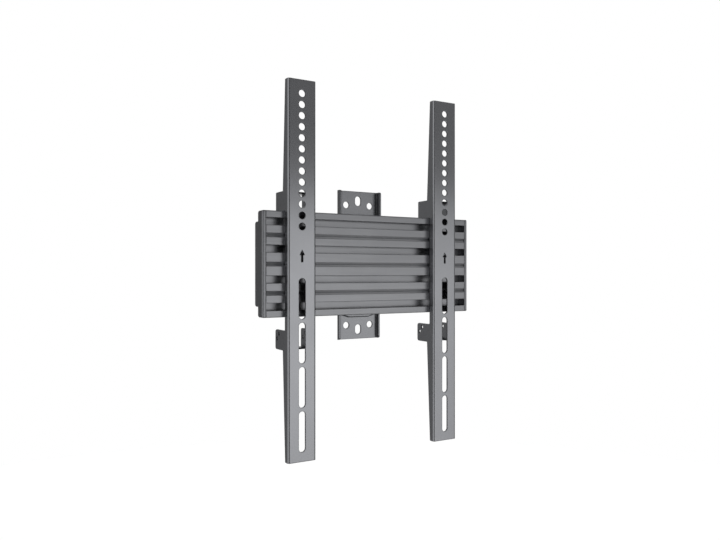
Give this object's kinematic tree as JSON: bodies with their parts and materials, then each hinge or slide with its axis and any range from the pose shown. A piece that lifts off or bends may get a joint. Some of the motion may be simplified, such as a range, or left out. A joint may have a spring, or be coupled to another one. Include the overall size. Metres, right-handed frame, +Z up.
{
  "type": "fixed tv wall bracket",
  "caption": "Fixed wall bracket for a flat screen: a wall plate carries an extruded rail, and slotted uprights hook over it.",
  "frame": {"origin": "centre of the wall plate's back face, on the wall", "axes": "+X along the rail to the right as seen from the front, +Y back into the wall, +Z up"},
  "size_m": [0.2882, 0.0502, 0.431],
  "materials": {
    "plate_steel": "satin anthracite powder coat on steel sheet",
    "carrier_steel": "satin anthracite powder coat on steel sheet",
    "upright_steel": "satin anthracite powder coat on steel sheet",
    "rail_aluminium": "satin anthracite powder coat on an extrusion",
    "cap_plastic": "fine-grained moulded plastic",
    "bolt_steel": "zinc plated",
    "washer_steel": "zinc plated",
    "nut_steel": "zinc plated",
    "rivet_steel": "bright steel"
  },
  "bodies": {
    "root": {"wall_plate": "plate_steel", "rail_carrier": "carrier_steel", "rail_profile": "rail_aluminium", "end_cap_left": "cap_plastic", "end_cap_right": "cap_plastic", "upright_left": "upright_steel", "upright_right": "upright_steel", "rail_bolt_1": "bolt_steel", "rail_bolt_2": "bolt_steel", "rail_bolt_3": "bolt_steel", "rail_bolt_4": "bolt_steel", "rail_washer_1": "washer_steel", "rail_washer_2": "washer_steel", "rail_washer_3": "washer_steel", "rail_washer_4": "washer_steel", "slot_nut_1": "nut_steel", "slot_nut_2": "nut_steel", "slot_nut_3": "nut_steel", "slot_nut_4": "nut_steel", "carrier_rivet_1": "rivet_steel", "carrier_rivet_2": "rivet_steel", "carrier_rivet_3": "rivet_steel", "carrier_rivet_4": "rivet_steel"}
  },
  "joints": []
}
